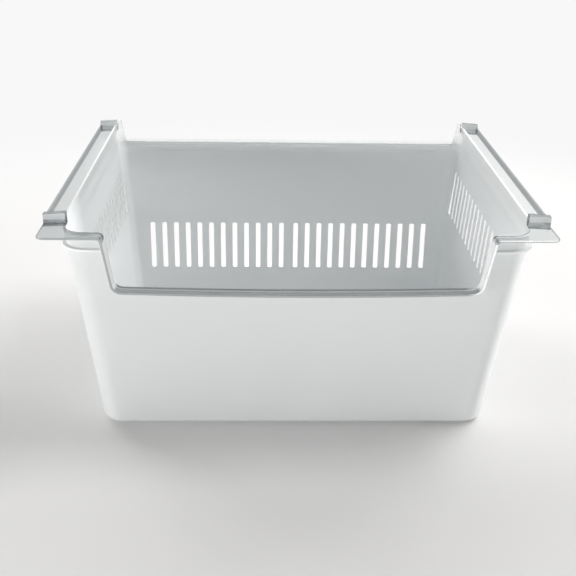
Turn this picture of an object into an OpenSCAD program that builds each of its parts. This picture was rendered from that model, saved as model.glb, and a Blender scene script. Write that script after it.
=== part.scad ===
// Freezer drawer: one deep moulded tub with a low front, vent slots and a slide channel on each side.
// Origin at the middle of the base plane, +Z up. The low front faces -Y.

/* [Overall] */
// Width across the outer edges of the slide channels
overall_w = 460; // [420:1:560]
// Depth from the front of the ears to the back of the rear lip
overall_d = 371; // [330:1:440]
// Height of the flange above the base
flange_h = 226.5; // [205:0.5:260]

/* [Tub] */
// Thickness of the tub's walls
wall_t = 2.4; // [1.8:0.1:3.2]
// Thickness of the tub's floor
floor_t = 2.8; // [2:0.1:4]
// Draft of the side walls and the rear wall in degrees
draft = 4.1; // [2:0.1:6]
// Draft of the front wall in degrees
front_draft = 11; // [6:0.1:14]
// Radius of the two front upright corners, outside
front_corner_r = 22; // [12:0.5:28]
// Radius of the two rear upright corners, outside
rear_corner_r = 12; // [9:0.5:16]
// Rounding between the floor and the walls, outside
edge_r = 7; // [5.5:0.5:8]

/* [Slide channels] */
// Reach of the slide channels beyond the side walls
channel_reach = 18; // [14:0.5:24]
// Thickness of the flange, the channel floor and the rims
plate_t = 2.5; // [2:0.1:3.5]
// Height of the side wall's top edge above the flange
inner_rib_h = 5; // [3:0.5:8]
// Height of the channel's outer rib above the flange
outer_rib_h = 5; // [3:0.5:8]
// Thickness of the channel's outer rib
outer_rib_t = 2.4; // [1.8:0.1:3.5]
// Fall of the channel's floor towards its outer rib
channel_fall = 1.4; // [0:0.1:2.4]

/* [Stops] */
// Height of the stops above the flange
stop_h = 10; // [9:0.5:15]
// Thickness of the stops from front to rear
stop_t = 7.5; // [5:0.5:10]
// Length of the stops across the channel
stop_l = 20.5; // [19:0.5:28]
// Rounding of the stops' top edges
stop_r = 1.8; // [0.5:0.1:2.2]
// Distance of the front stops behind the front of the ears
stop_setback = 35.5; // [30:0.5:45]
// Reach of the rear stops behind the rear wall
stop_back = 2; // [1.5:0.5:5]

/* [Front] */
// Reach of the ears in front of the front wall
ear_reach = 11.5; // [8:0.5:16]
// Radius of the ears' outer corners
ear_r = 6.5; // [3:0.5:12]
// Width of each ear, from the side of the cut-out to the channel's outer edge
ear_w = 57; // [50:0.5:90]
// Depth of the front cut-out below the flange
cut_depth = 57.5; // [40:0.5:90]
// Slope of the cut-out's sides in degrees
cut_slope = 6; // [3:0.1:9]
// Radius of the cut-out's lower corners
cut_r = 8; // [5:0.5:14]
// Radius where the cut-out's sides turn into the ears
turn_r = 5; // [4:0.5:8]
// Reach of the lip in front of the wall, at the bottom of the cut-out
lip_reach = 11; // [6:0.5:12]
// Sag of the lip at its middle
lip_sag = 2.4; // [0:0.1:3]

/* [Rear] */
// Drop of the rear wall's top, and of the rib round the tub, below the flange
rear_drop = 16; // [10:0.5:22]
// Reach of the rear lip behind the rear wall
rear_lip_reach = 11; // [8:0.5:15]
// Width of each rear corner that stays at full height
post_w = 10.5; // [8.5:0.5:16]
// Slope of the inner edges of the rear corners in degrees
post_slope = 12; // [0:1:15]
// Rounding at the feet of the rear corners' inner edges
post_r = 4; // [2:0.5:6]
// Thickness of the rib round the tub
rib_t = 2.4; // [1.8:0.1:3.5]
// Reach of the rib beyond the side and front walls
rib_reach = 3.5; // [3:0.5:7]

/* [Vent slots] */
// Number of rear slots in each of the two groups
rear_slots = 12; // [6:1:12]
// Distance of the outermost rear slots from the rounding of the rear corners at the base
rear_vent_inset = 12; // [8:0.5:40]
// Spacing between the two middle slots of the rear wall
rear_gap = 18.1; // [15:0.1:22]
// Height of the lower ends of the rear slots
rear_slot_z = 48.5; // [25:0.5:70]
// Length of the rear slots
rear_slot_l = 59; // [40:0.5:70]
// Number of slots in each side wall
side_slots = 13; // [8:1:13]
// Spacing of the side slots
side_pitch = 16.7; // [12:0.1:17]
// Distance of the rearmost side slot in front of the rear wall
side_setback = 9.5; // [9:0.5:30]
// Height of the lower ends of the side slots
side_slot_z = 123.5; // [90:0.5:125]
// Length of the side slots
side_slot_l = 54.5; // [40:0.5:56]
// Width of every slot
slot_w = 5.7; // [4.4:0.1:7]
// Corner radius of every slot
slot_r = 2; // [1:0.1:2.1]

/* [Hidden] */

over = 1;
round_fn = 48;
arc_steps = 8;
corner_steps = 12;
sag_steps = 10;

lean = tan(draft);
front_lean = tan(front_draft);
half_w = overall_w / 2;
half_d = overall_d / 2;
stop_top = flange_h + stop_h;
rear_h = flange_h - rear_drop;
cut_z = flange_h - cut_depth;
cut_half_w = half_w - ear_w;

// Outer faces of the walls at the base
base_x = half_w - channel_reach - flange_h * lean;
base_front_y = -half_d + ear_reach + flange_h * front_lean;
base_rear_y = half_d - rear_lip_reach - rear_h * lean;

// Outer faces of the walls at height z
function side_x(z) = base_x + z * lean;
function front_y(z) = base_front_y - z * front_lean;
function rear_y(z) = base_rear_y + z * lean;

flange_x = side_x(flange_h);
stop_front_y = -half_d + stop_setback;
stop_rear_y = rear_y(flange_h) + stop_back;
lip_front_y = front_y(cut_z) - lip_reach;
post_x = side_x(rear_h) - post_w;
turn_x = cut_half_w - turn_r * tan(cut_slope) + turn_r / cos(cut_slope);

// Spacing of the rear slots, which spreads each group between the middle and a corner
rear_pitch = (base_x - rear_corner_r - rear_vent_inset - rear_gap / 2) / (rear_slots - 1);

// Points of an arc round c, from angle a0 to a1
function arc(c, r, a0, a1) =
    [for (i = [0 : arc_steps]) let (a = a0 + (a1 - a0) * i / arc_steps) c + r * [cos(a), sin(a)]];
function reversed(v) = [for (i = [len(v) - 1 : -1 : 0]) v[i]];
function mirrored(v) = [for (p = reversed(v)) [-p[0], p[1]]];

// Extrudes an X-Z outline from y0 back to y1
module along_y(y0, y1) {
    translate([0, y1, 0])
        rotate([90, 0, 0])
            linear_extrude(height = y1 - y0)
                children();
}

// Extrudes a Y-Z outline from x0 across to x1
module along_x(x0, x1) {
    translate([x0, 0, 0])
        rotate([90, 0, 90])
            linear_extrude(height = x1 - x0)
                children();
}

// Upright wall profile between z0 and z1, as distances from the outer face: a rounded base edge
// of radius r, drawn in by inset
function wall_profile(z0, z1, inset, r) =
    concat(arc([-inset - r, z0 + r], r, -90, 0), [[-inset, z1]]);

// Outline of the tub at height z, grown by d: a rectangle with rounded corners, anticlockwise
// from the middle of the right side
function quarter_ring(c, r, a0, z) =
    [for (i = [0 : corner_steps]) let (a = a0 + 90 * i / corner_steps)
        [c[0] + r * cos(a), c[1] + r * sin(a), z]];
function tub_ring(z, d) =
    let (
        rear = [side_x(z) - rear_corner_r, rear_y(z) - rear_corner_r],
        front = [side_x(z) - front_corner_r, front_y(z) + front_corner_r]
    )
    concat(
        quarter_ring(rear, rear_corner_r + d, 0, z),
        quarter_ring([-rear[0], rear[1]], rear_corner_r + d, 90, z),
        quarter_ring([-front[0], front[1]], front_corner_r + d, 180, z),
        quarter_ring(front, front_corner_r + d, 270, z)
    );

// Tapered tub shape: its outline, carried up the wall profile
module tub_form(z0, z1, inset, r) {
    rings = [for (p = wall_profile(z0, z1, inset, r)) tub_ring(p[1], p[0])];
    n = len(rings);
    m = len(rings[0]);
    polyhedron(
        points = [for (ring = rings, p = ring) p],
        faces = concat(
            [[for (j = [0 : m - 1]) j], [for (j = [m - 1 : -1 : 0]) (n - 1) * m + j]],
            [for (i = [0 : n - 2], j = [0 : m - 1]) let (k = (j + 1) % m)
                [i * m + j, (i + 1) * m + j, (i + 1) * m + k, i * m + k]]
        ));
}

// Rib round the tub below the flange, which becomes the lip on top of the rear wall
module rib_and_rear_lip() {
    x = side_x(rear_h) + rib_reach;
    y0 = front_y(rear_h) - rib_reach;
    r0 = front_corner_r + rib_reach;
    r1 = rear_corner_r + rib_reach;
    translate([0, 0, rear_h - rib_t]) linear_extrude(height = rib_t) {
        translate([r0 - x, y0]) square([2 * (x - r0), r0]);
        translate([-x, y0 + r0]) square([2 * x, half_d - r1 - y0 - r0]);
        translate([r1 - x, half_d - r1]) square([2 * (x - r1), r1]);
        for (sx = [-1, 1]) {
            translate([sx * (x - r0), y0 + r0]) circle(r0, $fn = round_fn);
            translate([sx * (x - r1), half_d - r1]) circle(r1, $fn = round_fn);
        }
    }
}

// Right half of the front rim's top line in the X-Z plane, from the middle of the cut-out to
// the ear, and the same line moved into the material by t
function rim_half(t) =
    let (
        low = [cut_half_w - (cut_depth - cut_r) * tan(cut_slope) - cut_r / cos(cut_slope), cut_z + cut_r],
        high = [cut_half_w - turn_r * tan(cut_slope) + turn_r / cos(cut_slope), flange_h - turn_r]
    )
    concat(
        [for (i = [1 : sag_steps]) let (u = i / sag_steps - 1 / sag_steps)
            [low[0] * u, cut_z - t - lip_sag * (1 - u * u)]],
        arc(low, cut_r + t, -90, -cut_slope),
        arc(high, turn_r - t, 180 - cut_slope, 90)
    );
function rim_line(t) =
    let (right = rim_half(t), left = mirrored(right))
    concat([for (i = [0 : len(left) - 2]) left[i]], right);

// All that the cut-out takes away from the front wall
module front_cut_out() {
    top = flange_h + over;
    along_y(-half_d - over, front_y(0) + wall_t)
        polygon(concat(rim_line(0), [[turn_x, top], [-turn_x, top]]));
}

// Rim plate that follows the cut-out and reaches forward to a slanted front edge
module front_rim() {
    low_z = cut_z - plate_t - lip_sag - over;
    top = flange_h + over;
    intersection() {
        along_y(-half_d, front_y(low_z) + wall_t)
            polygon(concat(rim_line(0), reversed(rim_line(plate_t))));
        along_x(-half_w, half_w)
            polygon([
                [-half_d, top], [front_y(top) + wall_t, top], [front_y(low_z) + wall_t, low_z],
                [lip_front_y, low_z], [lip_front_y, cut_z], [-half_d, flange_h]
            ]);
    }
}

// Flat ear at each side of the cut-out, from the front back to the front stop
module ear() {
    translate([0, 0, flange_h - plate_t]) linear_extrude(height = plate_t) {
        translate([turn_x, -half_d])
            square([half_w - ear_r - turn_x, stop_setback + stop_t]);
        translate([turn_x, -half_d + ear_r])
            square([half_w - turn_x, stop_setback + stop_t - ear_r]);
        translate([half_w - ear_r, -half_d + ear_r])
            circle(ear_r, $fn = round_fn);
    }
}

// Floor and outer rib of the slide channel
module channel() {
    in_x = flange_x - wall_t;
    low_z = flange_h - channel_fall;
    along_y(stop_front_y, stop_rear_y) {
        polygon([
            [in_x, flange_h], [half_w, low_z], [half_w, low_z - plate_t], [in_x, flange_h - plate_t]
        ]);
        translate([half_w - outer_rib_t, low_z - plate_t])
            square([outer_rib_t, plate_t + channel_fall + outer_rib_h]);
    }
}

// Stop across the channel, with its rear face at y1
module stop(y1) {
    y0 = y1 - stop_t;
    base_z = flange_h - plate_t;
    in_x = half_w - stop_l;
    intersection() {
        along_y(y0, y1)
            polygon([
                [in_x, base_z], [in_x, stop_top], [half_w, stop_top - channel_fall],
                [half_w, base_z - channel_fall]
            ]);
        along_x(in_x, half_w)
            polygon(concat(
                [[y0, base_z - channel_fall]],
                arc([y0 + stop_r, stop_top - channel_fall - stop_r], stop_r, 180, 90),
                arc([y1 - stop_r, stop_top - channel_fall - stop_r], stop_r, 90, 0),
                [[y1, base_z - channel_fall]]
            ));
    }
}

// One slot outline that stands on the origin
module slot_outline(l) {
    translate([-slot_w / 2, slot_r]) square([slot_w, l - 2 * slot_r]);
    translate([-slot_w / 2 + slot_r, 0]) square([slot_w - 2 * slot_r, l]);
    for (x = [-1, 1] * (slot_w / 2 - slot_r), z = [slot_r, l - slot_r])
        translate([x, z]) circle(slot_r, $fn = round_fn);
}

// Two groups of slots through the rear wall
module rear_vents() {
    along_y(rear_y(0) - wall_t - over, rear_y(rear_slot_z + rear_slot_l) + over)
        for (sx = [-1, 1], i = [0 : rear_slots - 1])
            translate([sx * (rear_gap / 2 + i * rear_pitch), rear_slot_z])
                slot_outline(rear_slot_l);
}

// One row of slots through both side walls
module side_vents() {
    rear_slot_y = rear_y(side_slot_z) - side_setback;
    for (sx = [0, 1]) mirror([sx, 0, 0])
        along_x(side_x(side_slot_z) - 3 * wall_t, side_x(side_slot_z + side_slot_l) + over)
            for (i = [0 : side_slots - 1])
                translate([rear_slot_y - i * side_pitch, side_slot_z])
                    slot_outline(side_slot_l);
}

// Lowers the front to the flange, the side walls to their top edges, and the rear wall to its
// own height between the rear corners
module top_trim() {
    top = stop_top + over;
    post_y = stop_rear_y - stop_t;
    foot = [post_x - post_r * (1 - sin(post_slope)) / cos(post_slope), rear_h + post_r];
    edge = concat(arc(foot, post_r, -90, -post_slope), [[post_x + (top - rear_h) * tan(post_slope), top]]);
    translate([-half_w, -half_d, flange_h])
        cube([overall_w, stop_setback, top - flange_h]);
    translate([-half_w, -half_d, flange_h + inner_rib_h])
        cube([overall_w, half_d + post_y, top - flange_h - inner_rib_h]);
    along_y(rear_y(0) - rear_corner_r, half_d)
        polygon(concat(edge, mirrored(edge)));
}

module drawer_tub() {
    color("#dfe6e8") {
        difference() {
            union() {
                tub_form(0, stop_top, 0, edge_r);
                rib_and_rear_lip();
                front_rim();
                for (sx = [0, 1]) mirror([sx, 0, 0]) {
                    ear();
                    channel();
                }
            }
            tub_form(floor_t, stop_top + over, wall_t, edge_r - wall_t);
            front_cut_out();
            rear_vents();
            side_vents();
            top_trim();
        }
        for (sx = [0, 1]) mirror([sx, 0, 0]) {
            stop(stop_front_y + stop_t);
            stop(stop_rear_y);
        }
    }
}

drawer_tub();
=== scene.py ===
# %% [markdown]
# # Freezer drawer of milky plastic
# One moulding: a tapered tub with a low front, vent slots and a slide channel along each side.
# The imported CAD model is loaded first, because every piece made here has to lie where it says.

# %% The frame
import math

import bmesh
import bpy
import numpy as np
from mathutils import Matrix, Vector


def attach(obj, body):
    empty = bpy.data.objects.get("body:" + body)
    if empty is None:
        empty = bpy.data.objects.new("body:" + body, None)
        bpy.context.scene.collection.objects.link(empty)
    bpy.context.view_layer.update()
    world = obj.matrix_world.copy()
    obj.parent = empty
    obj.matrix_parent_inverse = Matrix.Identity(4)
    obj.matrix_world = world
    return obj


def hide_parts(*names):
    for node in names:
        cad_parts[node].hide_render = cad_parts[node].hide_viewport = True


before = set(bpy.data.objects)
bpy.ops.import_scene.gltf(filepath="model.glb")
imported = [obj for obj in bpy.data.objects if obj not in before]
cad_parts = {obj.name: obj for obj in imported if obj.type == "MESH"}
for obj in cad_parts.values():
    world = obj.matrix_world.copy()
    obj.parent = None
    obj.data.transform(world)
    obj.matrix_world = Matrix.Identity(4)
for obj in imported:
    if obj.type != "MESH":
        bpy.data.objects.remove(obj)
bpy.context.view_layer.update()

# %% [markdown]
# ## Camera
# The camera looks down on the drawer by 25 degrees. Its place, turns and lens were fitted to the
# slots and edges of the drawer, so the rendered edges fall on those of the photograph.

# %% Camera
CAMERA_PLACE = Vector((-0.0321, -0.9295, 0.5254))
PITCH, YAW, ROLL = (math.radians(a) for a in (24.92, 1.71, 0.977))
FOCAL_PIXELS, FRAME_PIXELS, SENSOR_MM = 920.85, 576, 36


def camera_axes(pitch, yaw, roll):
    """Right, up and forward: turn by yaw about the vertical, tip down by pitch, then roll."""
    right = Vector((math.cos(yaw), -math.sin(yaw), 0))
    painted_glow_ahead = Vector((math.sin(yaw), math.cos(yaw), 0))
    forward = painted_glow_ahead * math.cos(pitch) - Vector((0, 0, 1)) * math.sin(pitch)
    up = painted_glow_ahead * math.sin(pitch) + Vector((0, 0, 1)) * math.cos(pitch)
    return (right * math.cos(roll) + up * math.sin(roll),
            up * math.cos(roll) - right * math.sin(roll), forward)


right, up, forward = camera_axes(PITCH, YAW, ROLL)
camera = bpy.data.objects.new("camera", bpy.data.cameras.new("camera"))
camera.matrix_world = Matrix.Translation(CAMERA_PLACE) @ Matrix((right, up, -forward)).transposed().to_4x4()
camera.data.sensor_width = SENSOR_MM
camera.data.lens = FOCAL_PIXELS * SENSOR_MM / FRAME_PIXELS
bpy.context.collection.objects.link(camera)
bpy.context.scene.camera = camera
bpy.context.scene.view_settings.view_transform = "Standard"
print("lens", round(camera.data.lens, 2), "mm")

# %% [markdown]
# ## Colours and nodes
# Colours are written as sRGB hex, the way they are read off a colour card, and one function turns
# them into the linear values that the shaders work with. Patterns are given by the size of their
# features in millimetres, so that they can be compared with the real surface.

# %% Helpers for materials
MM = 0.001


def colour(code):
    """Linear RGBA of an sRGB hex: a channel c becomes c / 12.92 below 0.04045, else
    ((c + 0.055) / 1.055) to the power 2.4."""
    c = np.array([int(code[i:i + 2], 16) for i in (1, 3, 5)]) / 255
    return (*np.where(c < 0.04045, c / 12.92, ((c + 0.055) / 1.055) ** 2.4), 1.0)


def noise_scale(size):
    """Scale of a noise whose features have this size in millimetres: one over the size in metres."""
    return 1 / (size * MM)


def add(material, kind, settings=None, **more):
    """Adds one node of a kind. Each setting is a property, or a socket by its name or number, and
    a value that is another node's socket is linked to it."""
    node = material.node_tree.nodes.new(kind)
    for key, value in {**(settings or {}), **{name.replace("_", " "): v for name, v in more.items()}}.items():
        if isinstance(value, bpy.types.NodeSocket):
            material.node_tree.links.new(value, node.inputs[key])
        elif isinstance(key, str) and hasattr(node, key):
            setattr(node, key, value)
        else:
            node.inputs[key].default_value = value
    return node


def new_material(name):
    """A material with no nodes yet."""
    material = bpy.data.materials.new(name)
    material.use_nodes = True
    material.node_tree.nodes.clear()
    return material


print("a noise of 1 mm features has the scale", noise_scale(1))

# %% [markdown]
# ## Floor and light
# The drawer stands on plain white paper. Soft boxes behind it send light through its milky walls,
# one high on the right lights it from above, and two low cards fill the front. Near the drawer the
# paper is lit, so it keeps the shadow. Farther off it fades to white, and so does the room, but
# only for rays that look: a white room that also lit the drawer would make it flat.

# %% Floor and lamps
FLOOR_HALF, FADE_START, FADE_END, FILL_LEVEL = 12.0, 0.5, 1.1, 0.1
floor_mesh = bpy.data.meshes.new("floor")
floor_mesh.from_pydata([(x * FLOOR_HALF, y * FLOOR_HALF, 0) for x, y in ((-1, -1), (1, -1), (1, 1), (-1, 1))],
                       [], [(0, 1, 2, 3)])
floor = bpy.data.objects.new("floor", floor_mesh)
bpy.context.collection.objects.link(floor)


def looking_rays(material):
    """1 for a ray from the camera or from a gloss, which should see a white room, else 0. A ray
    through the milky walls is left out: white there would light the drawer from all sides."""
    ray = add(material, "ShaderNodeLightPath")
    return add(material, "ShaderNodeMix", {"B": 1.0}, Factor=ray.outputs["Is Glossy Ray"],
               A=ray.outputs["Is Camera Ray"]).outputs["Result"]


paper = new_material("white_paper_floor")
place = add(paper, "ShaderNodeTexCoord")
distance = add(paper, "ShaderNodeVectorMath", {"operation": "LENGTH"}, Vector=place.outputs["Object"])
far = add(paper, "ShaderNodeMapRange", {"interpolation_type": "SMOOTHSTEP", "From Min": FADE_START,
                                        "From Max": FADE_END}, Value=distance.outputs["Value"])
part = add(paper, "ShaderNodeMix", {"A": 0.0}, Factor=far.outputs["Result"], B=looking_rays(paper))
near_floor = add(paper, "ShaderNodeBsdfDiffuse", {"Color": colour("#F8F7F6")})
far_floor = add(paper, "ShaderNodeEmission", {"Color": colour("#F8F8F8"), "Strength": 1.0})
paper_mix = add(paper, "ShaderNodeMixShader", {"Fac": part.outputs["Result"], 1: near_floor.outputs[0],
                                               2: far_floor.outputs[0]})
add(paper, "ShaderNodeOutputMaterial", Surface=paper_mix.outputs[0])
floor_mesh.materials.append(paper)

world = bpy.data.worlds.new("white_room")
world.use_nodes = True
sky = world.node_tree.nodes["Background"]
sky.inputs["Color"].default_value = colour("#F9F9F9")
level = add(world, "ShaderNodeMix", {"A": FILL_LEVEL, "B": 1.0}, Factor=looking_rays(world))
world.node_tree.links.new(level.outputs["Result"], sky.inputs["Strength"])
bpy.context.scene.world = world


def soft_lamp(name, place, aim, width, height, power):
    """An area lamp whose -Z axis points from its place to the aim."""
    lamp = bpy.data.objects.new(name, bpy.data.lights.new(name, "AREA"))
    lamp.data.shape, lamp.data.size, lamp.data.size_y, lamp.data.energy = "RECTANGLE", width, height, power
    turn = (Vector(place) - Vector(aim)).to_track_quat("Z", "Y").to_matrix().to_4x4()
    lamp.matrix_world = Matrix.Translation(place) @ turn
    bpy.context.collection.objects.link(lamp)


soft_lamp("rear_softbox", (0, 2.3, 1.3), (0, 0, 0.1), 1.6, 1.6, 17)
soft_lamp("rear_right_softbox", (1.6, 1.6, 1.6), (0, 0, 0.1), 1.6, 1.6, 20)
soft_lamp("rear_left_softbox", (-1.6, 1.6, 1.6), (0, 0, 0.1), 1.6, 1.6, 27)
soft_lamp("right_softbox", (2.3, 0, 1.2), (0, 0, 0.1), 1.6, 1.6, 10)
soft_lamp("high_right_softbox", (1.3, 0.2, 2.4), (0, 0, 0.1), 1.2, 1.2, 26)
soft_lamp("low_left_card", (-2.0, -1.0, 0.3), (0, 0, 0.12), 1.2, 0.4, 21)
soft_lamp("low_front_card", (0, -1.1, 0.05), (0, -0.17, 0.12), 2.0, 0.08, 3.5)

# %% [markdown]
# ## Sizes
# Every size is the CAD model's own, in millimetres, so a surface made here lies on the solid that
# it dresses. Only the slots' corners are rounded less, as they look in the photograph. Millimetres
# are easier to read than metres; the mesh builder scales them.

# %% Sizes in millimetres
HALF_W, HALF_D, FLANGE_H = 230.0, 185.5, 226.5
WALL_T, EDGE_R, FRONT_R, REAR_R = 2.4, 7.0, 22.0, 12.0
LEAN, FRONT_LEAN = math.tan(math.radians(4.1)), math.tan(math.radians(11))
CHANNEL_REACH, PLATE_T, RIB_H, RIB_T, CHANNEL_FALL = 18.0, 2.5, 5.0, 2.4, 1.4
STOP_H, STOP_T, STOP_L, STOP_R = 10.0, 7.5, 20.5, 1.8
STOP_FRONT_Y, STOP_REAR_Y, TURN_X, POST_X = -150.0, 177.65, 177.5, 200.35
EAR_REACH, EAR_R, CUT_R, TURN_R, LIP_REACH, LIP_SAG = 11.5, 6.5, 8.0, 5.0, 11.0, 2.4
REAR_LIP, POST_R, RIB_REACH = 11.0, 4.0, 3.5
CUT_SLOPE, POST_SLOPE = math.radians(6), math.radians(12)
REAR_GAP, REAR_PITCH, REAR_SLOT_Z, REAR_SLOT_L = 18.1, 14.792, 48.5, 59.0
SIDE_PITCH, SIDE_REAR_SLOT, SIDE_SLOT_Z, SIDE_SLOT_L = 16.7, 158.76, 123.5, 54.5
REAR_SLOTS, SIDE_SLOTS, SLOT_W, SLOT_R = 12, 13, 5.7, 1.2
STOP_TOP, REAR_H, CUT_Z, CUT_HALF_W = 236.5, 210.5, 169.0, 173.0
print("stops' top at", STOP_TOP, "mm, rear wall's top at", REAR_H, "mm")

# %% [markdown]
# ## Walls as functions
# A moulded tub leans outwards on every side, or it would not come out of its mould. Each wall is a
# plane that a straight draft describes, and each upright corner is a quarter circle that moves
# out with the walls as it rises. So one formula gives the skin at any height.

# %% Skins of the walls


def side_x(z):
    """Outer face of the side wall: its place at the flange less the fall times the draft's tangent."""
    return HALF_W - CHANNEL_REACH + (z - FLANGE_H) * LEAN


def front_y(z):
    """Outer face of the front wall, which leans forwards more than the others do."""
    return EAR_REACH - HALF_D + (FLANGE_H - z) * FRONT_LEAN


def rear_y(z):
    """Outer face of the rear wall."""
    return HALF_D - REAR_LIP + (z - REAR_H) * LEAN


def drawn_in(t, r):
    """How far a corner of radius r has turned away at distance t past its start:
    r minus the root of r squared minus t squared."""
    t = np.clip(t, 0, r)
    return r - np.sqrt(np.maximum(r * r - t * t, 0))


def side_skin(y, z, d=0.0):
    """Right wall at depth y and height z, moved inwards by -d and drawn in at both its corners."""
    x = (side_x(z) + d - drawn_in(y - rear_y(z) + REAR_R, REAR_R + d)
         - drawn_in(front_y(z) + FRONT_R - y, FRONT_R + d))
    return np.stack(np.broadcast_arrays(x, y, z), -1)


def rear_skin(x, z, d=0.0):
    """Rear wall at x and height z, moved inwards by -d and drawn in at its corner."""
    y = rear_y(z) + d - drawn_in(x - side_x(z) + REAR_R, REAR_R + d)
    return np.stack(np.broadcast_arrays(x, y, z), -1)


def front_skin(x, z, d=0.0):
    """Front wall at x and height z, moved inwards by -d and drawn in at its corner."""
    y = front_y(z) - d + drawn_in(x - side_x(z) + FRONT_R, FRONT_R + d)
    return np.stack(np.broadcast_arrays(x, y, z), -1)


print("base", round(2 * side_x(0), 1), "x", round(rear_y(0) - front_y(0), 1), "mm")

# %% [markdown]
# ## From grids to meshes
# A grid of points has rows and columns, and each square of four neighbours is a face. The patches
# of one piece are laid down side by side and merged where their edges meet. The right half is
# worked out, and its mirror image gives the left, as on the real drawer.

# %% Mesh builder


def grid_faces(rows, cols, wrap):
    """Four point numbers for each square of a grid. wrap joins each row's end to its start."""
    i, j = np.mgrid[0:rows - 1, 0:cols if wrap else cols - 1]
    k = (j + 1) % cols
    return np.stack([i * cols + j, i * cols + k, (i + 1) * cols + k, (i + 1) * cols + j], -1).reshape(-1, 4)


def mirrored(grid):
    """The grid's mirror image: x becomes -x, and the columns run the other way."""
    return grid[:, ::-1] * (-1, 1, 1)


def make_piece(name, patches, wrap=False, caps=False):
    """One object from grids of points. wrap closes the rows, caps closes the first and last row."""
    points, faces, start = [], [], 0
    for grid in patches:
        rows, cols = grid.shape[:2]
        points.append(grid.reshape(-1, 3))
        faces += (grid_faces(rows, cols, wrap) + start).tolist()
        if caps:
            faces += [list(range(start + cols - 1, start - 1, -1)),
                      list(range(start + (rows - 1) * cols, start + rows * cols))]
        start += rows * cols
    mesh = bpy.data.meshes.new(name)
    mesh.from_pydata((np.concatenate(points) * MM).tolist(), [], faces)
    work = bmesh.new()
    work.from_mesh(mesh)
    bmesh.ops.remove_doubles(work, verts=work.verts, dist=0.00002)
    bmesh.ops.recalc_face_normals(work, faces=work.faces)
    work.to_mesh(mesh)
    work.free()
    mesh.shade_smooth()
    piece = bpy.data.objects.new(name, mesh)
    bpy.context.collection.objects.link(piece)
    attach(piece, "root")
    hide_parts("drawer_tub")
    print(name, len(mesh.vertices), "points,", len(mesh.polygons), "faces")
    return piece


# %% [markdown]
# ## Vent slots
# A slot is a rounded window. It could be cut with a Boolean, which leaves ragged many-sided faces.
# Here each slot sits in a cell of the wall instead, and rings of faces lead from the slot's
# outline out to the cell's rectangle, so the wall stays a tidy grid of four-sided faces.

# %% Slot cells
ACROSS, ALONG, RINGS = 6, 8, np.array([0.0, 0.12, 0.5, 1.0])


def slot_outline(centre, low, high):
    """Outline of a slot from the middle of its lower left corner, anticlockwise: six steps across
    and eight along, where each corner is an arc of radius SLOT_R in four steps."""
    flat, turn = SLOT_W / 2 - SLOT_R, np.radians([45, 67.5, 90])
    x_across = np.concatenate([-flat - SLOT_R * np.cos(turn), [0], flat + SLOT_R * np.cos(turn[::-1])])
    dip = SLOT_R * (1 - np.sin(np.concatenate([turn, [np.pi / 2], turn[::-1]])))
    z_corner = low + SLOT_R * (1 - np.cos(turn))
    z_along = np.concatenate([z_corner, np.linspace(low + SLOT_R, high - SLOT_R, ALONG - 3)[1:-1],
                              low + high - z_corner[::-1]])
    x_corner = flat + SLOT_R * np.sin(turn)
    x_along = np.concatenate([x_corner, np.full(ALONG - 5, SLOT_W / 2), x_corner[::-1]])
    sides = [(x_across, low + dip), (x_along, z_along), (x_across[::-1], high - dip), (-x_along, z_along[::-1])]
    return np.concatenate([np.stack(side, -1)[:-1] for side in sides]) + (centre, 0)


def cell_rings(u0, u1, levels, hole):
    """Rings of points in a wall's own plane: each is a blend of the slot's outline and the cell's rectangle."""
    across = np.linspace(u0, u1, ACROSS + 1)
    sides = [(across, levels[0]), (u1, levels), (across[::-1], levels[-1]), (u0, levels[::-1])]
    rectangle = np.concatenate([np.stack(np.broadcast_arrays(*side), -1)[:-1] for side in sides])
    return hole + RINGS[:, None, None] * (rectangle - hole)


rear_centres = REAR_GAP / 2 + REAR_PITCH * np.arange(REAR_SLOTS)
rear_edges = np.concatenate([[0], rear_centres + REAR_PITCH / 2])
side_centres = SIDE_REAR_SLOT - SIDE_PITCH * np.arange(SIDE_SLOTS)[::-1]
side_edges = np.concatenate([[side_centres[0] - SIDE_PITCH / 2], side_centres + SIDE_PITCH / 2])
side_edges[-1] = 166.68
print(2 * REAR_SLOTS, "rear slots, 2 x", SIDE_SLOTS, "side slots")

# %% [markdown]
# ## The wall's grid
# All the patches share one list of heights: a rounded base edge, a band for the rear slots, a band
# for the side slots, and the rest up to the top edge. Where a corner moves out with the height, its
# columns move with it.

# %% Heights and columns
BASE_TURN = np.linspace(-np.pi / 2, 0, 8)
REAR_BAND = np.linspace(REAR_SLOT_Z - 6, REAR_SLOT_Z + REAR_SLOT_L + 6, ALONG + 1)
SIDE_BAND = np.linspace(SIDE_SLOT_Z - 5, SIDE_SLOT_Z + SIDE_SLOT_L + 5, ALONG + 1)
TOP_STEPS = np.linspace(0, 1, 6)[1:]
ROWS_D = np.concatenate([EDGE_R * (np.cos(BASE_TURN) - 1), np.zeros(2 * ALONG + 2 + len(TOP_STEPS))])[:, None]
ROWS_BELOW = np.concatenate([EDGE_R * (1 + np.sin(BASE_TURN)), REAR_BAND, SIDE_BAND])
UNDER_PLATE, UNDER_RIB = FLANGE_H - PLATE_T + 0.1, REAR_H - RIB_T + 0.1
REAR_ROWS = slice(len(BASE_TURN), len(BASE_TURN) + ALONG + 1)
SIDE_ROWS = slice(REAR_ROWS.stop, REAR_ROWS.stop + ALONG + 1)


def heights(top):
    """Heights of all rows for columns that end at their own tops: the rows above the side slots
    divide what is left of each column evenly."""
    below = np.repeat(ROWS_BELOW[:, None], len(top), 1)
    return np.concatenate([below, SIDE_BAND[-1] + (top - SIDE_BAND[-1]) * TOP_STEPS[:, None]])


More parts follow.
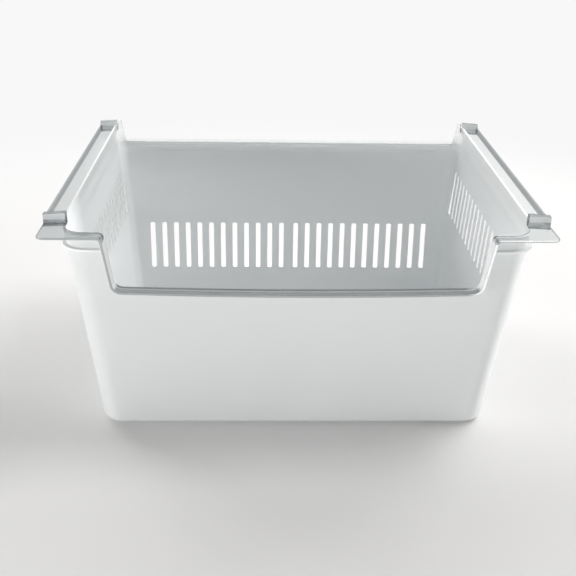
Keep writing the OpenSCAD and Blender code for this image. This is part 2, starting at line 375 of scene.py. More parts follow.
def cell_columns(edges):
    """Columns of a row of cells: each cell in equal steps."""
    steps = np.linspace(0, 1, ACROSS + 1)[:-1]
    return np.append((edges[:-1, None] + np.diff(edges)[:, None] * steps).ravel(), edges[-1])


def with_slots(skin, grid, columns, rows, edges, centres, low, high):
    """A wall as patches: its grid, with the band of cells in the given columns made by slot cells."""
    first, last = columns.start, columns.stop - 1
    patches = [grid[:rows.start + 1], grid[rows.stop - 1:]]
    patches += [part for part in (grid[rows, :first + 1], grid[rows, last:]) if part.shape[1] > 1]
    levels = grid[rows, first, 2]
    for u0, u1, centre in zip(edges[:-1], edges[1:], centres):
        ring = cell_rings(u0, u1, levels, slot_outline(centre, low, high))
        ring = np.concatenate([ring, ring[:, :1]], 1)
        patches.append(skin(ring[..., 0], ring[..., 1]))
    return patches


print(len(ROWS_D), "rows")

# %% [markdown]
# ## Side wall
# The top edge of the side wall stands 5 mm above the flange and is the inner rib of the slide
# channel. Ahead of the front stop it is cut down to the ear. The rearmost slot starts to turn round
# the corner, so the wall's grid reaches into the corner until past that slot.

# %% Side wall grid
front_turn = np.radians(np.linspace(45, 0, 7))[:-1]
run = np.array([0, 0.0946, 0.0995, 0.3, 0.5, 0.75])
cells = np.append(cell_columns(side_edges), 167.18)
side_top = np.concatenate([np.full(len(front_turn) + 2, UNDER_PLATE),
                           np.full(len(run) - 2 + len(cells) - 1, FLANGE_H + RIB_H), [STOP_TOP]])
z = heights(side_top)
front_centre, rear_centre = front_y(z) + FRONT_R, rear_y(z) - REAR_R
share = np.clip((cells - cells[0]) / (155.5 - cells[0]), 0, 1)
n_arc, n_run = len(front_turn), len(run)
y_arc = front_centre[:, :n_arc] - (FRONT_R + ROWS_D) * np.sin(front_turn)
start = front_centre[:, n_arc:n_arc + n_run]
y_run = start + (cells[0] - start) * run
z_cells = z[:, n_arc + n_run:]
y_cells = cells + share * (rear_y(z_cells) - rear_y(np.clip(z_cells, SIDE_BAND[0], SIDE_BAND[-1])))
past = y_cells - rear_centre[:, n_arc + n_run:]
y_cells = np.where(past > 0, y_cells - past * -ROWS_D / REAR_R, y_cells)
side_grid = side_skin(np.concatenate([y_arc, y_run, y_cells], 1), z, ROWS_D)
side_columns = slice(n_arc + n_run, n_arc + n_run + len(cells) - 1)
side_patches = with_slots(side_skin, side_grid, side_columns, SIDE_ROWS, side_edges, side_centres,
                          SIDE_SLOT_Z, SIDE_SLOT_Z + SIDE_SLOT_L)
print("side wall", side_grid.shape)

# %% [markdown]
# ## Rear wall and corner post
# The rear wall ends under its lip, 16 mm below the flange, but both rear corners stay at full
# height. The post's inner edge rises from a small rounding at a slope of 12 degrees. Its outline is
# a list of points, and columns are put through them, so the grid ends exactly on the outline.

# %% Rear wall grid
foot = np.radians(np.linspace(-90, -12, 6))
foot_x = POST_X - POST_R * (1 - math.sin(POST_SLOPE)) / math.cos(POST_SLOPE)
edge_x = np.concatenate([foot_x + POST_R * np.cos(foot), POST_X + (np.array([218, 225, 231, STOP_TOP]) - REAR_H)
                         * math.tan(POST_SLOPE)])
edge_z = np.concatenate([REAR_H + POST_R + POST_R * np.sin(foot), [218, 225, 231, STOP_TOP]])
turn_end = np.pi / 2 - np.arcsin((side_grid[:, -1, 1:2] - rear_centre[:, -1:]) / (REAR_R + ROWS_D))
reach = edge_x - side_x(edge_z) + REAR_R
edge_p = np.where(reach < 0, 1 + reach / (side_x(edge_z) - REAR_R - rear_edges[-1]),
                  1 + np.arcsin(np.clip(reach, 0, REAR_R) / REAR_R) / turn_end[-1, 0])
corner_p = np.sort(np.concatenate([[0.3, 0.6, 0.8, edge_p[0] - 0.03, 1.0], edge_p,
                                   np.linspace(edge_p[-1], 2, 7)[1:]]))
corner_top = np.where(corner_p < edge_p[0] - 1e-6, UNDER_RIB, np.interp(corner_p, edge_p, edge_z))
cells = cell_columns(rear_edges)
z = heights(np.concatenate([np.full(len(cells), UNDER_RIB), corner_top]))
centre = side_x(z[:, len(cells):]) - REAR_R
x_corner = np.where(corner_p <= 1, rear_edges[-1] + (centre - rear_edges[-1]) * corner_p,
                    centre + (REAR_R + ROWS_D) * np.sin((corner_p - 1) * turn_end))
rear_grid = rear_skin(np.concatenate([np.repeat(cells[None], len(z), 0), x_corner], 1), z, ROWS_D)
rear_patches = with_slots(rear_skin, rear_grid, slice(0, len(cells)), REAR_ROWS, rear_edges, rear_centres,
                          REAR_SLOT_Z, REAR_SLOT_Z + REAR_SLOT_L)
print("rear wall", rear_grid.shape, "gap at the corner",
      round(float(np.abs(rear_grid[:, -1] - side_grid[:, -1]).max()), 6), "mm")

# %% [markdown]
# ## Front wall
# The front is low in the middle, so that one can see and reach in. Its top line is the same
# for the wall and for the rim on it: a slight sag, a wide corner, a steep side and a small turn
# outwards to the ear. The rim's top line moved down by the plate's thickness is the wall's end.

# %% Front wall grid


def rim_half(t):
    """Right half of the cut-out's line in x and z, from its middle to the ear, moved into the
    plastic by t: a parabola's sag, an arc of radius CUT_R, an arc of radius TURN_R."""
    depth = FLANGE_H - CUT_Z
    low_x = CUT_HALF_W - (depth - CUT_R) * math.tan(CUT_SLOPE) - CUT_R / math.cos(CUT_SLOPE)
    high_x = CUT_HALF_W - TURN_R * math.tan(CUT_SLOPE) + TURN_R / math.cos(CUT_SLOPE)
    u = np.linspace(0, 1, 13)[:-1]
    low, high = np.radians(np.linspace(-90, -6, 11)), np.radians(np.linspace(174, 90, 8))
    x = np.concatenate([low_x * u, low_x + (CUT_R + t) * np.cos(low), high_x + (TURN_R - t) * np.cos(high)])
    z = np.concatenate([CUT_Z - t - LIP_SAG * (1 - u * u), CUT_Z + CUT_R + (CUT_R + t) * np.sin(low),
                        FLANGE_H - TURN_R + (TURN_R - t) * np.sin(high)])
    return x, z


rim_x, rim_z = rim_half(PLATE_T - 0.1)
rim_u = rim_x / (side_x(rim_z) - FRONT_R)
columns_u = np.concatenate([rim_u, np.linspace(rim_u[-1], 1, 4)[1:]])
turn = np.radians(np.linspace(0, 45, 7))[1:]
front_top = np.append(rim_z, np.full(3 + len(turn), UNDER_PLATE))
base_rows = len(BASE_TURN)
levels = heights(np.array([UNDER_PLATE]))
z = np.repeat(levels, len(front_top), 1)
z[base_rows:] = EDGE_R + (z[base_rows:] - EDGE_R) * (front_top - EDGE_R) / (UNDER_PLATE - EDGE_R)
centre = side_x(z) - FRONT_R
x = np.concatenate([centre[:, :len(columns_u)] * columns_u,
                    centre[:, len(columns_u):] + (FRONT_R + ROWS_D) * np.sin(turn)], 1)
front_grid = front_skin(x, z, ROWS_D)
print("front wall", front_grid.shape, "gap at the corner",
      round(float(np.abs(front_grid[:, -1] - side_grid[:, 0]).max()), 6), "mm")

# %% [markdown]
# ## The tub
# The floor closes the walls: each patch's lowest row is drawn in to the middle of the floor. Then
# Solidify gives the one sheet its thickness inwards, which also makes the walls of the slots, and a
# small Bevel takes the sharpness off, as a mould does. Its hardened normals keep flat faces flat.

# %% Tub shell
shrink = np.array([1, 0.8, 0.4, 0.0])[:, None, None]
floor_middle = np.array([0, 20, 0])
patches = side_patches + rear_patches + [front_grid]
patches += [floor_middle + (grid[:1] - floor_middle) * shrink for grid in (side_grid, rear_grid, front_grid)]
tub_shell = make_piece("tub_shell", patches + [mirrored(grid) for grid in patches])


def modifier(piece, kind, **settings):
    """Adds a modifier and sets its values."""
    made = piece.modifiers.new(kind.lower(), kind)
    for key, value in settings.items():
        setattr(made, key, value)


modifier(tub_shell, "SOLIDIFY", thickness=WALL_T * MM, offset=-1, use_even_offset=True, material_offset_rim=1)
modifier(tub_shell, "BEVEL", width=0.35 * MM, segments=2, limit_method="ANGLE", angle_limit=math.radians(50),
         harden_normals=True)
outwards = sum(face.normal.dot(face.center - Vector((0, 0.02, 0.15))) > 0 for face in tub_shell.data.polygons)
print("faces that point outwards:", outwards, "of", len(tub_shell.data.polygons))

# %% [markdown]
# ## Rim and ears
# The rim follows the cut-out as a plate that reaches forwards, and at each side it runs on as a flat
# ear. One plate makes all of it: two curves, its rear edge and its front edge, and between them
# a section with rounded edges, which is carried along from stop to stop.

# %% Plate along two curves


def plate(inner, outer, down, thickness, r):
    """Closed plate whose top lies between two curves. At each step its section is a rectangle of
    that width and thickness with edges of radius r: a ring of sixteen points."""
    width = np.linalg.norm(outer - inner, axis=1)[:, None]
    across = (outer - inner)[:, None] / width[..., None]
    s, c = r * np.sin(np.linspace(0, np.pi / 2, 4)), r * np.cos(np.linspace(0, np.pi / 2, 4))
    ones = np.ones_like(width)
    along = np.concatenate([width - r + s, width - r + c, ones * (r - s), ones * (r - c)], 1)
    through = np.concatenate([r - c, thickness - r + s, thickness - r + c, r - s]) * ones
    return inner[:, None] + across * along[..., None] + down[:, None] * through[..., None]


def whole(curve):
    """A curve from the right half's start to its end, after its mirror image run backwards."""
    return np.concatenate([curve[::-1] * (-1, 1, 1), curve[1:] if abs(curve[0, 0]) < 1e-9 else curve])


def points(x, y, z):
    return np.stack(np.broadcast_arrays(x, y, z), -1).astype(float)


def arc(x, y, r, a0, a1, n):
    """x and y of an arc round a centre, from angle a0 to a1 in degrees."""
    a = np.radians(np.linspace(a0, a1, n))
    return x + r * np.cos(a), y + r * np.sin(a)


# %% Rim and ears
top_x, top_z = rim_half(0)
low_x, low_z = rim_half(PLATE_T)
rise = np.clip((top_z - CUT_Z) / (FLANGE_H - CUT_Z), 0, 1)
lip_y = front_y(CUT_Z) - LIP_REACH
rim_inner = points(top_x, front_y(top_z) + WALL_T, top_z)
rim_outer = points(top_x, lip_y + (-HALF_D - lip_y) * rise, top_z)
rim_down = points(low_x - top_x, 0, low_z - top_z) / PLATE_T
in_r, in_x, in_y = FRONT_R - WALL_T, HALF_W - CHANNEL_REACH - FRONT_R, front_y(FLANGE_H) + FRONT_R
turn_in, turn_out = arc(in_x, in_y, in_r, -90, 0, 14), arc(HALF_W - EAR_R, EAR_R - HALF_D, EAR_R, -90, 0, 14)
ear_steps = np.linspace(0, 1, 4)[1:-1]
ear_inner = np.concatenate([
    points(TURN_X + (in_x - TURN_X) * ear_steps, in_y - in_r, FLANGE_H), points(*turn_in, FLANGE_H),
    points(in_x + in_r, STOP_FRONT_Y + 0.3, FLANGE_H)[None]])
ear_outer = np.concatenate([
    points(TURN_X + (HALF_W - EAR_R - TURN_X) * ear_steps, -HALF_D, FLANGE_H), points(*turn_out, FLANGE_H),
    points(HALF_W, STOP_FRONT_Y + 0.3, FLANGE_H)[None]])
ear_down = np.tile([0.0, 0, -1], (len(ear_inner), 1))
inner, outer, down = (whole(np.concatenate(pair)) for pair in
                      ((rim_inner, ear_inner), (rim_outer, ear_outer), (rim_down, ear_down)))
rim_and_ears = make_piece("rim_and_ears", [plate(inner, outer, down, PLATE_T, 0.9)], wrap=True, caps=True)
modifier(rim_and_ears, "WEIGHTED_NORMAL", weight=50, keep_sharp=True)

# %% [markdown]
# ## Rib and rear lip
# A rib runs round the tub below the flange and stiffens it, and at the rear it widens to the lip on
# top of the rear wall. It is the same kind of plate, carried from one side of the cut-out round the
# rear to the other.

# %% Rib and rear lip
z_in = REAR_H - RIB_T / 2
rib_x, rib_y, rib_r0, rib_r1 = side_x(REAR_H) + RIB_REACH, front_y(REAR_H) - RIB_REACH, FRONT_R + RIB_REACH, REAR_R + RIB_REACH
back = np.array([1.0, 0.985, 0.5, 0.0])
x_rear = side_x(z_in) - REAR_R
rib_outer = np.concatenate([
    points(np.array([CUT_HALF_W - 0.6, rib_x - rib_r0 - 1]), rib_y, REAR_H),
    points(*arc(rib_x - rib_r0, rib_y + rib_r0, rib_r0, -90, 0, 14), REAR_H),
    points(*arc(rib_x - rib_r1, HALF_D - rib_r1, rib_r1, 0, 90, 14), REAR_H),
    points((rib_x - rib_r1) * back[1:], HALF_D, REAR_H)])
inset = np.array([1.2, WALL_T, WALL_T])
rib_inner = np.concatenate([
    points(np.array([CUT_HALF_W - 0.6, side_x(z_in) - FRONT_R - 1]), front_y(z_in) + 1.2, REAR_H),
    points(*arc(side_x(z_in) - FRONT_R, front_y(z_in) + FRONT_R, FRONT_R - 1.2, -90, 0, 14), REAR_H),
    points(*arc(x_rear, rear_y(z_in) - REAR_R, REAR_R - 1.2, 0, 90, 14), REAR_H),
    points(np.array([foot_x - 0.2, foot_x * 0.5, 0]), rear_y(z_in) - WALL_T, REAR_H)])
inner, outer = (np.concatenate([curve, (curve[:-1] * (-1, 1, 1))[::-1]]) for curve in (rib_inner, rib_outer))
rib_and_lip = make_piece("rib_and_rear_lip", [plate(inner, outer, np.tile([0.0, 0, -1], (len(inner), 1)), RIB_T, 0.6)],
                         wrap=True, caps=True)
modifier(rib_and_lip, "WEIGHTED_NORMAL", weight=50, keep_sharp=True)

# %% [markdown]
# ## Slide channels
# A channel is the same section from end to end: its floor falls outwards a little, and an outer rib
# stands on it. So it is one outline with rounded corners, carried straight back. It could be
# extruded with a tool; as arrays it is two copies of one ring.

# %% Slide channels


def rounded(corners, radii, steps=6):
    """Outline whose corners are arcs that touch both their sides. With half the corner's angle h,
    an arc of radius r has its centre r / sin h from the corner, along the line that halves it."""
    corners, r = np.array(corners, float), np.array(radii, float)[:, None]
    before, after = np.roll(corners, 1, 0) - corners, np.roll(corners, -1, 0) - corners
    before /= np.linalg.norm(before, axis=1)[:, None]
    after /= np.linalg.norm(after, axis=1)[:, None]
    half = np.arccos(np.clip((before * after).sum(1), -1, 1))[:, None] / 2
    middle = (before + after) / np.linalg.norm(before + after, axis=1)[:, None]
    centre = corners + middle * r / np.sin(half)
    first, last = corners + before * r / np.tan(half) - centre, corners + after * r / np.tan(half) - centre
    sweep, t = (np.pi - 2 * half)[:, None], np.linspace(0, 1, steps)[None, :, None]
    ring = (first[:, None] * np.sin((1 - t) * sweep) + last[:, None] * np.sin(t * sweep)) / np.sin(sweep)
    return (centre[:, None] + ring).reshape(-1, 2)


fall = CHANNEL_FALL / (CHANNEL_REACH + WALL_T)
wall_x, outer_x = HALF_W - CHANNEL_REACH - WALL_T, HALF_W - RIB_T
channel_corners = [(x, FLANGE_H - drop - (x - wall_x) * fall) for x, drop in
                   ((wall_x + 1.2, PLATE_T), (HALF_W, PLATE_T))] + [
    (HALF_W, FLANGE_H + RIB_H), (outer_x, FLANGE_H + RIB_H)] + [
    (x, FLANGE_H - (x - wall_x) * fall) for x in (outer_x, wall_x + 1.2)]
section = rounded(channel_corners, (0.1, 1.0, 0.9, 0.9, 1.2, 0.1))
stations = np.linspace(STOP_FRONT_Y + STOP_T - 0.3, STOP_REAR_Y - STOP_T + 0.3, 3)[:, None]
channel = points(section[:, 0], stations, section[:, 1])
channels = [make_piece(name, [grid], wrap=True, caps=True) for name, grid in
            (("slide_channel_right", channel), ("slide_channel_left", mirrored(channel)))]
for piece in channels:
    modifier(piece, "WEIGHTED_NORMAL", weight=50, keep_sharp=True)

# %% [markdown]
# ## Stops
# Four blocks across the channels stop the drawer at both ends of its travel. Each is a rounded
# section carried across the channel, and its ends are rounded by shrinking the section near them.

# %% Stops


def stop_block(y_rear):
    """Block from the inner face of the side wall out to the channel's outer edge. The section's
    shrinking s at distance e from an end is that of a rounding of radius 0.6."""
    r_end = 0.6
    e = r_end * (1 - np.cos(np.linspace(0, np.pi / 2, 4)))
    x = np.concatenate([HALF_W - STOP_L + e, (HALF_W - 0.05 - e)[::-1]])[:, None]
    s = np.tile(r_end * (1 - np.sin(np.linspace(0, np.pi / 2, 4))), 2)
    s[4:] = s[3::-1]
    half, drop = STOP_T / 2 - s[:, None], (x - HALF_W + STOP_L) / STOP_L * CHANNEL_FALL
    turn = np.linspace(0, np.pi / 2, 7)
    r = STOP_R
    y_ring = np.concatenate([half - r + r * np.cos(turn), -half + r - r * np.sin(turn), -half, half], 1)
    z_top = STOP_TOP - drop - s[:, None]
    base = FLANGE_H - PLATE_T - drop + 0.1 + s[:, None]
    z_ring = np.concatenate([z_top - r + r * np.sin(turn), z_top - r + r * np.cos(turn), base, base], 1)
    return points(x, y_rear - STOP_T / 2 + y_ring, z_ring)


blocks = {"stop_front_right": stop_block(STOP_FRONT_Y + STOP_T), "stop_rear_right": stop_block(STOP_REAR_Y)}
blocks.update({name.replace("right", "left"): mirrored(grid) for name, grid in list(blocks.items())})
stops = [make_piece(name, [grid], wrap=True, caps=True) for name, grid in blocks.items()]
for piece in stops:
    modifier(piece, "WEIGHTED_NORMAL", weight=50, keep_sharp=True)

# %% [markdown]
# ## Milky plastic
# The real drawer is polystyrene with a little white in it, injection moulded in one tone. The
# texture of the mould leaves its walls satin, so they glow softly instead of mirroring, and a part
# of the light goes through. So the shader mixes a plain plastic with a translucent one. The tops
# of the two rear corners are thin, and the white room shows through them. The front corner on the
# lamps' side has painted light, a faint white glow laid over the wall. So, more faintly, do the
# left wall's foot and rear corner inside.

# %% Milky plastic
GRAIN, CLOUD, GRAIN_DEPTH = 1.1, 110.0, 0.2
THROUGH_SHARE, THIN_SHARE = 0.4, 0.85
THIN_Z, THIN_Y = (198 * MM, 222 * MM), (150 * MM, 168 * MM)
# Places of painted light: the right front corner, and the left wall's foot and rear corner inside
PAINTED_GLOW_Y, PAINTED_GLOW_SHARE = (-80 * MM, -135 * MM), 0.7
LEFT_X, LOW_Z, CORNER_Y, LEFT_PAINTED_LIGHT_SHARE = (-150 * MM, -180 * MM), (150 * MM, 110 * MM), (155 * MM, 163 * MM), 0.5


def glowing(material, base, roughness, glow):
    """Plain plastic of one tone with a faint white glow: painted light where it is laid over a surface."""
    return add(material, "ShaderNodeBsdfPrincipled", {
        "Base Color": colour(base), "Roughness": roughness, "Emission Color": colour("#FFFFFF"),
        "Emission Strength": glow})


def milky_wall(name):
    """A material with the milky plastic's nodes: returns it, its coordinates, its points' places and its shader."""
    material = new_material(name)
    place = add(material, "ShaderNodeTexCoord")
    grain = add(material, "ShaderNodeTexNoise", {"Scale": noise_scale(GRAIN), "Detail": 2.0},
                Vector=place.outputs["Object"])
    relief = add(material, "ShaderNodeBump", {"Strength": 0.15, "Distance": GRAIN_DEPTH * MM},
                 Height=grain.outputs["Fac"])
    cloud = add(material, "ShaderNodeTexNoise", {"Scale": noise_scale(CLOUD), "Detail": 3.0},
                Vector=place.outputs["Object"])
    tint = add(material, "ShaderNodeMix", {"data_type": "RGBA", 6: colour("#F4F3F0"), 7: colour("#F8F7F4")},
               Factor=cloud.outputs["Fac"])
    plain = add(material, "ShaderNodeBsdfPrincipled", {"Roughness": 0.45, "IOR": 1.49},
                Base_Color=tint.outputs[2], Normal=relief.outputs["Normal"])
    through = add(material, "ShaderNodeBsdfTranslucent", {"Color": colour("#EBF0F4")},
                  Normal=relief.outputs["Normal"])
    wall = add(material, "ShaderNodeMixShader", {"Fac": THROUGH_SHARE, 1: plain.outputs[0], 2: through.outputs[0]})
    spot = add(material, "ShaderNodeSeparateXYZ", Vector=place.outputs["Object"])
    return material, place, spot, wall


milky, place, spot, wall = milky_wall("milky_moulded_polystyrene")
looks = add(milky, "ShaderNodeSeparateXYZ", Vector=place.outputs["Normal"])
# Painted light: a faint white glow on the right-facing wall near the front, round the front corner
rightward = add(milky, "ShaderNodeMapRange", {"From Min": 0.3, "From Max": 0.98, "To Max": PAINTED_GLOW_SHARE},
                Value=looks.outputs["X"])
painted_glow_ahead = add(milky, "ShaderNodeMapRange", {"From Min": PAINTED_GLOW_Y[0], "From Max": PAINTED_GLOW_Y[1]},
            Value=spot.outputs["Y"])
painted_glow_part = add(milky, "ShaderNodeMix", {"A": 0.0}, Factor=painted_glow_ahead.outputs["Result"], B=rightward.outputs["Result"])
wall_with_painted_glow = add(milky, "ShaderNodeMixShader", {"Fac": painted_glow_part.outputs["Result"], 1: wall.outputs[0],
                                              2: glowing(milky, "#F6F7F8", 0.45, 0.4).outputs[0]})
# Painted light: a fainter white glow inside on the left wall's foot and rear corner
inward = add(milky, "ShaderNodeMapRange", {"From Min": 0.05, "From Max": 0.5, "To Max": LEFT_PAINTED_LIGHT_SHARE},
             Value=looks.outputs["X"])
left_part = add(milky, "ShaderNodeMapRange", {"From Min": LEFT_X[0], "From Max": LEFT_X[1]}, Value=spot.outputs["X"])
low_part = add(milky, "ShaderNodeMapRange", {"From Min": LOW_Z[0], "From Max": LOW_Z[1]}, Value=spot.outputs["Z"])
corner_part = add(milky, "ShaderNodeMapRange", {"From Min": CORNER_Y[0], "From Max": CORNER_Y[1]},
                  Value=spot.outputs["Y"])
either = add(milky, "ShaderNodeMath", {"operation": "MAXIMUM", 0: low_part.outputs["Result"],
                                       1: corner_part.outputs["Result"]})
painted_light_left_inside = add(milky, "ShaderNodeMix", {"A": 0.0}, Factor=left_part.outputs["Result"], B=inward.outputs["Result"])
painted_light_left_part = add(milky, "ShaderNodeMix", {"A": 0.0}, Factor=either.outputs["Value"], B=painted_light_left_inside.outputs["Result"])
wall_with_painted_light = add(milky, "ShaderNodeMixShader", {"Fac": painted_light_left_part.outputs["Result"], 1: wall_with_painted_glow.outputs[0],
                                                2: glowing(milky, "#F6F7F8", 0.45, 0.2).outputs[0]})
above = add(milky, "ShaderNodeMapRange", {"From Min": THIN_Z[0], "From Max": THIN_Z[1], "To Max": THIN_SHARE},
            Value=spot.outputs["Z"])
behind = add(milky, "ShaderNodeMapRange", {"From Min": THIN_Y[0], "From Max": THIN_Y[1]}, Value=spot.outputs["Y"])
corner = add(milky, "ShaderNodeMix", {"A": 0.0}, Factor=behind.outputs["Result"], B=above.outputs["Result"])
bare = add(milky, "ShaderNodeBsdfTransparent", {"Color": colour("#FFFFFF")})
thinned = add(milky, "ShaderNodeMixShader", {"Fac": corner.outputs["Result"], 1: wall_with_painted_light.outputs[0],
                                             2: bare.outputs[0]})
add(milky, "ShaderNodeOutputMaterial", Surface=thinned.outputs[0])
tub_shell.data.materials.append(milky)
print(milky.name, len(milky.node_tree.nodes), "nodes")

# %% [markdown]
# ## Moulded edges
# Light that runs along inside the plastic comes out at its edges, which shine as the edge of an
# acrylic sheet does. It could be traced through the wall, which is slow and noisy. A faint glow on
# the shader, painted light, looks the same at this size. The slots of the left wall get little of
# that light: their edges are painted darker and glow less. The rib's front gets a faint painted glow too.

# %% Moulded edges
RIB_START_Y, RIB_FULL_Y, LEFT_WALL_X, LEFT_WALL_END_X = -100 * MM, -140 * MM, -190 * MM, -180 * MM


edge = new_material("glowing_moulded_edge_polystyrene")
place = add(edge, "ShaderNodeTexCoord")
spot = add(edge, "ShaderNodeSeparateXYZ", Vector=place.outputs["Object"])
painted_light_part = add(edge, "ShaderNodeMapRange", {"From Min": LEFT_WALL_X, "From Max": LEFT_WALL_END_X},
               Value=spot.outputs["X"])
# Painted light: the edges glow; those of the left wall are painted darker and glow less
edge_with_painted_glow = add(edge, "ShaderNodeMixShader", {
    "Fac": painted_light_part.outputs["Result"], 1: glowing(edge, "#E2E4E4", 0.3, 0.05).outputs[0],
    2: glowing(edge, "#F6F7F7", 0.3, 0.24).outputs[0]})
add(edge, "ShaderNodeOutputMaterial", Surface=edge_with_painted_glow.outputs[0])
tub_shell.data.materials.append(edge)

rib, place, spot, wall = milky_wall("milky_moulded_rib_polystyrene")
# Painted light: the front part of the rib gets a faint white glow
painted_glow_ahead = add(rib, "ShaderNodeMapRange", {"From Min": RIB_START_Y, "From Max": RIB_FULL_Y}, Value=spot.outputs["Y"])
rib_with_painted_glow = add(rib, "ShaderNodeMixShader", {"Fac": painted_glow_ahead.outputs["Result"], 1: wall.outputs[0],
                                            2: glowing(rib, "#F6F7F7", 0.4, 0.06).outputs[0]})
add(rib, "ShaderNodeOutputMaterial", Surface=rib_with_painted_glow.outputs[0])
rib_and_lip.data.materials.append(rib)
print("edges:", edge.name, "and", rib.name)

# %% [markdown]
# ## Clear plastic
# The channels, the rim, the ears and the stops are polished in the mould, so there the plastic is
# clear. Refracting glass would show each thin plate nearly black in a small scene like this one.
# Each is a tinted window instead: it lets most light straight through and keeps a share of gloss.
# Faces that look sideways are seen through more plastic, and have a deeper tint.

# %% Windows and channels
WAVE, WAVE_DEPTH = 16.5, 0.4


def window(name, tint, shade, through):
    """Clear plastic: the share through is a tinted window, the rest is gloss. tint is a hex or a
    function that makes a colour socket. Returns the material, its points' places, the way they look
    and its shader."""
    material = new_material(name)
    place = add(material, "ShaderNodeTexCoord")
    waves = add(material, "ShaderNodeTexNoise", {"Scale": noise_scale(WAVE), "Detail": 2.0},
                Vector=place.outputs["Object"])
    relief = add(material, "ShaderNodeBump", {"Strength": 0.2, "Distance": WAVE_DEPTH * MM},
                 Height=waves.outputs["Fac"])
    spot = add(material, "ShaderNodeSeparateXYZ", Vector=place.outputs["Object"])
    looks = add(material, "ShaderNodeSeparateXYZ", Vector=place.outputs["Normal"])
    sideways = add(material, "ShaderNodeMath", {"operation": "ABSOLUTE"}, Value=looks.outputs["X"])
    part = add(material, "ShaderNodeMapRange", {"From Min": 0.3, "From Max": 0.9}, Value=sideways.outputs["Value"])
    smoke = add(material, "ShaderNodeMix", {"data_type": "RGBA", 6: tint(material, spot) if callable(tint) else colour(tint),
                                             7: colour(shade)},
                Factor=part.outputs["Result"])
    pane = add(material, "ShaderNodeBsdfTransparent", Color=smoke.outputs[2])
    gloss = add(material, "ShaderNodeBsdfPrincipled", {"Base Color": colour("#A9ACAE"), "Roughness": 0.12, "IOR": 1.57},
                Normal=relief.outputs["Normal"])
    body = add(material, "ShaderNodeMixShader", {"Fac": through, 1: gloss.outputs[0], 2: pane.outputs[0]})
    return material, spot, looks, body


def channel_tint_with_painted_shade(material, spot):
    """Painted shade: the left channel lies in the drawer's own shade, so its tint is a little deeper."""
    right_part = add(material, "ShaderNodeMapRange", {"From Min": -100 * MM, "From Max": 100 * MM},
                     Value=spot.outputs["X"])
    return add(material, "ShaderNodeMix", {"data_type": "RGBA", 6: colour("#EFF1F1"), 7: colour("#FBFCFC")},
               Factor=right_part.outputs["Result"]).outputs[2]


channel_plastic, spot, looks, body = window("clear_polished_channel_polystyrene", channel_tint_with_painted_shade, "#CDCFD0", 0.93)
add(channel_plastic, "ShaderNodeOutputMaterial", Surface=body.outputs[0])
for piece in channels:
    piece.data.materials.append(channel_plastic)
print(channel_plastic.name)

# %% [markdown]
# ## Rim and stops
# At the low middle of the rim the tint is painted deeper, as painted shade. The left ear's tint is
# painted a little darker than the right one's, as shade. Its front edge is a painted dark line of
# shade, but the right ear's has a painted highlight above and only its lower half stays dark. The
# steep sides of the rim are painted pale, as light. Front edge, ear and sides are each a face of one
# tone, laid over the window where the plastic looks that way.

# %% Rim and stops
EAR_LOW, LIP_HIGH, STEEP_TOP, STEEP_FADE = 222 * MM, 200 * MM, 220 * MM, 222.5 * MM
EAR_START_X, EAR_FULL_X, EAR_HALF_Z, EAR_HALF_T = 155 * MM, 165 * MM, 223.5 * MM, 1.6 * MM
LIT_STOP_Z = (229 * MM, 230.5 * MM)


def faced(material, body, base, glow, part):
    """The shader body with a face of one tone laid over it, where part is 1."""
    return add(material, "ShaderNodeMixShader", {"Fac": part, 1: body.outputs[0],
                                                 2: glowing(material, base, 0.3, glow).outputs[0]})


def rim_tint_with_painted_shade(material, spot):
    """Painted shade: darker on the left ear than on the right one, and deepest at the lip."""
    shaded_left_ear_part = add(material, "ShaderNodeMapRange", {"From Min": -160 * MM, "From Max": -170 * MM},
                   Value=spot.outputs["X"])
    ear_tint = add(material, "ShaderNodeMix", {"data_type": "RGBA", 6: colour("#F2F4F4"), 7: colour("#E7E9EA")},
                   Factor=shaded_left_ear_part.outputs["Result"])
    low = add(material, "ShaderNodeMapRange", {"From Min": EAR_LOW, "From Max": LIP_HIGH}, Value=spot.outputs["Z"])
    return add(material, "ShaderNodeMix", {"data_type": "RGBA", 6: ear_tint.outputs[2], 7: colour("#D2D4D5")},
               Factor=low.outputs["Result"]).outputs[2]


rim, spot, looks, body = window("clear_polished_rim_polystyrene", rim_tint_with_painted_shade, "#CDCFD0", 0.93)
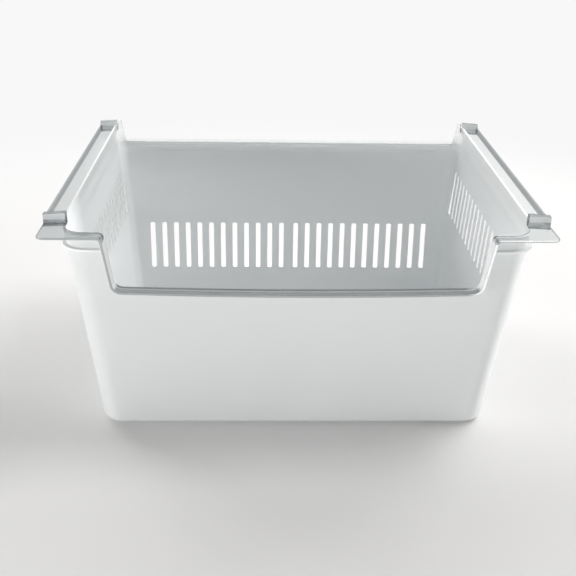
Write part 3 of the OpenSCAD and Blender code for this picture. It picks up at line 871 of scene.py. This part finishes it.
# Painted light on the steep sides and on the right ear's upper front, painted shade on the front edge
turned = add(rim, "ShaderNodeMath", {"operation": "ABSOLUTE"}, Value=looks.outputs["X"])
steep = add(rim, "ShaderNodeMapRange", {"From Min": 0.6, "From Max": 0.9, "To Max": 0.55},
            Value=turned.outputs["Value"])
below_ear = add(rim, "ShaderNodeMapRange", {"From Min": STEEP_FADE, "From Max": STEEP_TOP}, Value=spot.outputs["Z"])
painted_light_steep_part = add(rim, "ShaderNodeMix", {"A": 0.0}, Factor=below_ear.outputs["Result"], B=steep.outputs["Result"])
painted_light_sides = faced(rim, body, "#F6F7F7", 0.2, painted_light_steep_part.outputs["Result"])
front_part = add(rim, "ShaderNodeMapRange", {"From Min": -0.55, "From Max": -0.9, "To Max": 0.85},
                 Value=looks.outputs["Y"])
painted_shade_front = faced(rim, painted_light_sides, "#B2B4B5", 0.0, front_part.outputs["Result"])
right_ear = add(rim, "ShaderNodeMapRange", {"From Min": EAR_START_X, "From Max": EAR_FULL_X},
                Value=spot.outputs["X"])
lower_half = add(rim, "ShaderNodeMath", {"operation": "COMPARE", 0: spot.outputs["Z"], 1: EAR_HALF_Z, 2: EAR_HALF_T})
upper_half = add(rim, "ShaderNodeMix", {"B": 0.0}, Factor=lower_half.outputs["Value"], A=front_part.outputs["Result"])
painted_light_part = add(rim, "ShaderNodeMix", {"A": 0.0}, Factor=right_ear.outputs["Result"], B=upper_half.outputs["Result"])
painted_highlight_front = faced(rim, painted_shade_front, "#F6F7F7", 0.35, painted_light_part.outputs["Result"])
add(rim, "ShaderNodeOutputMaterial", Surface=painted_highlight_front.outputs[0])
rim_and_ears.data.materials.append(rim)


thick, spot, looks, body = window("thick_clear_stop_polystyrene", "#E8EAEB", "#AEB2B4", 0.7)
# Painted light: the upper part of each stop's front face is a pale face with a faint glow
upper = add(thick, "ShaderNodeMapRange", {"From Min": LIT_STOP_Z[0], "From Max": LIT_STOP_Z[1], "To Max": 0.6},
            Value=spot.outputs["Z"])
front_part = add(thick, "ShaderNodeMapRange", {"From Min": -0.55, "From Max": -0.95}, Value=looks.outputs["Y"])
painted_light_stop_part = add(thick, "ShaderNodeMix", {"A": 0.0}, Factor=front_part.outputs["Result"], B=upper.outputs["Result"])
stop_with_painted_light = faced(thick, body, "#F0F1F1", 0.1, painted_light_stop_part.outputs["Result"])
add(thick, "ShaderNodeOutputMaterial", Surface=stop_with_painted_light.outputs[0])
for piece in stops:
    piece.data.materials.append(thick)
print("clear plastic:", [m.name for m in (channel_plastic, rim, thick)])
